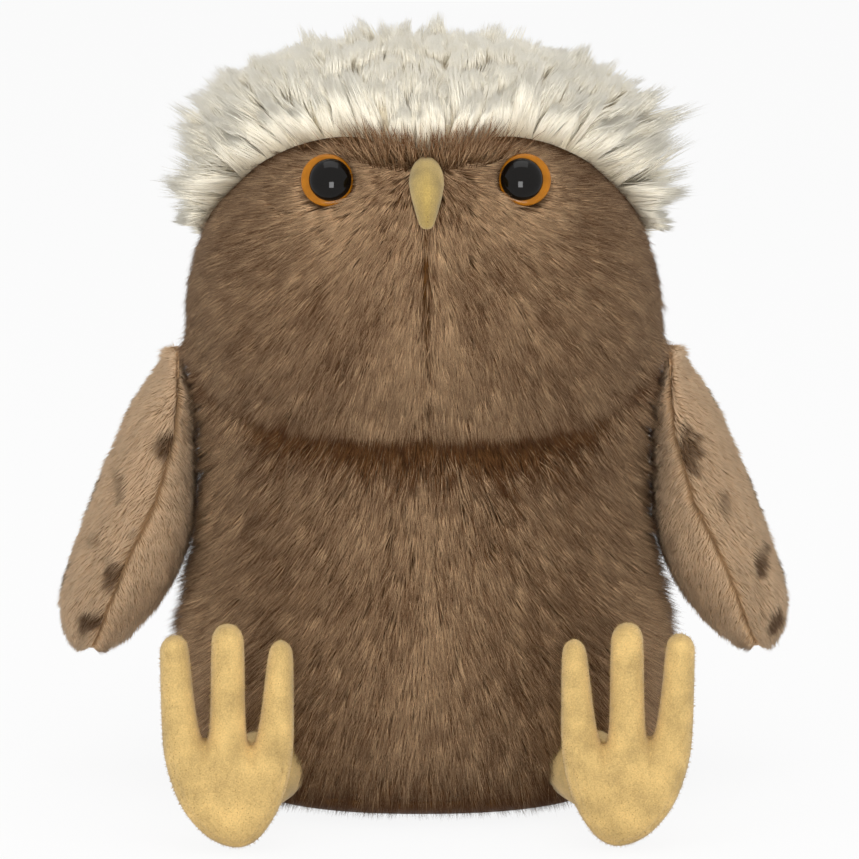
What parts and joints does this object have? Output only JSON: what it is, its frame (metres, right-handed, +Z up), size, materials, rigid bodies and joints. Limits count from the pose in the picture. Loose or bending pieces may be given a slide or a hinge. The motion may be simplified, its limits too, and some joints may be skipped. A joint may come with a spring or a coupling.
{
  "type": "plush owl",
  "caption": "Seated plush owl with a white long-pile crown, domed amber eyes, spotted wings that lift and three-toed feet that tilt.",
  "frame": {"origin": "centre of the flat base panel on which the owl sits", "axes": "+Z up, the owl faces -Y, +X towards its own left"},
  "size_m": [0.2156, 0.1456, 0.223],
  "materials": {
    "brown_pile": "long-pile plush with dark frosted tips",
    "white_pile": "long cream-white plush",
    "fibre_fill": "loose polyester fibre filling",
    "pouch_cloth": "plain woven cloth",
    "spotted_pile": "short-pile plush with printed spots",
    "foot_suede": "napped suede cloth",
    "beak_suede": "napped suede cloth",
    "amber_plastic": "moulded, glossy",
    "black_plastic": "moulded, high gloss",
    "washer_plastic": "moulded, plain"
  },
  "bodies": {
    "torso": {"body_front": "brown_pile", "body_back": "brown_pile", "base_panel": "brown_pile", "body_stuffing": "fibre_fill", "bean_pouch": "pouch_cloth", "face_left": "brown_pile", "face_right": "brown_pile", "head_back": "brown_pile", "crown": "white_pile", "head_stuffing": "fibre_fill", "eye_left": "amber_plastic", "eye_right": "amber_plastic", "pupil_left": "black_plastic", "pupil_right": "black_plastic", "washer_left": "washer_plastic", "washer_right": "washer_plastic", "beak_left": "beak_suede", "beak_right": "beak_suede", "beak_stuffing": "fibre_fill", "leg_left": "foot_suede", "leg_right": "foot_suede"},
    "wing_left": {"wing_left_outer": "spotted_pile", "wing_left_inner": "spotted_pile", "wing_left_stuffing": "fibre_fill"},
    "wing_right": {"wing_right_outer": "spotted_pile", "wing_right_inner": "spotted_pile", "wing_right_stuffing": "fibre_fill"},
    "foot_left": {"foot_left_sole": "foot_suede", "foot_left_top": "foot_suede", "foot_left_stuffing": "fibre_fill"},
    "foot_right": {"foot_right_sole": "foot_suede", "foot_right_top": "foot_suede", "foot_right_stuffing": "fibre_fill"}
  },
  "joints": [
    {"name": "wing_left_lift", "type": "hinge", "parent": "torso", "child": "wing_left", "pos_m": [0.071, 0.002, 0.1305], "axis": [0, -1, 0], "range_deg": [0, 60]},
    {"name": "wing_right_lift", "type": "hinge", "parent": "torso", "child": "wing_right", "pos_m": [-0.071, 0.002, 0.1305], "axis": [0, 1, 0], "range_deg": [0, 60]},
    {"name": "foot_left_tilt", "type": "hinge", "parent": "torso", "child": "foot_left", "pos_m": [0.0562, -0.0685, 0.014], "axis": [1, 0, 0], "range_deg": [-8, 35], "stiffness_Nm_per_rad": 0.05},
    {"name": "foot_right_tilt", "type": "hinge", "parent": "torso", "child": "foot_right", "pos_m": [-0.0562, -0.0685, 0.014], "axis": [1, 0, 0], "range_deg": [-8, 35], "stiffness_Nm_per_rad": 0.05}
  ]
}
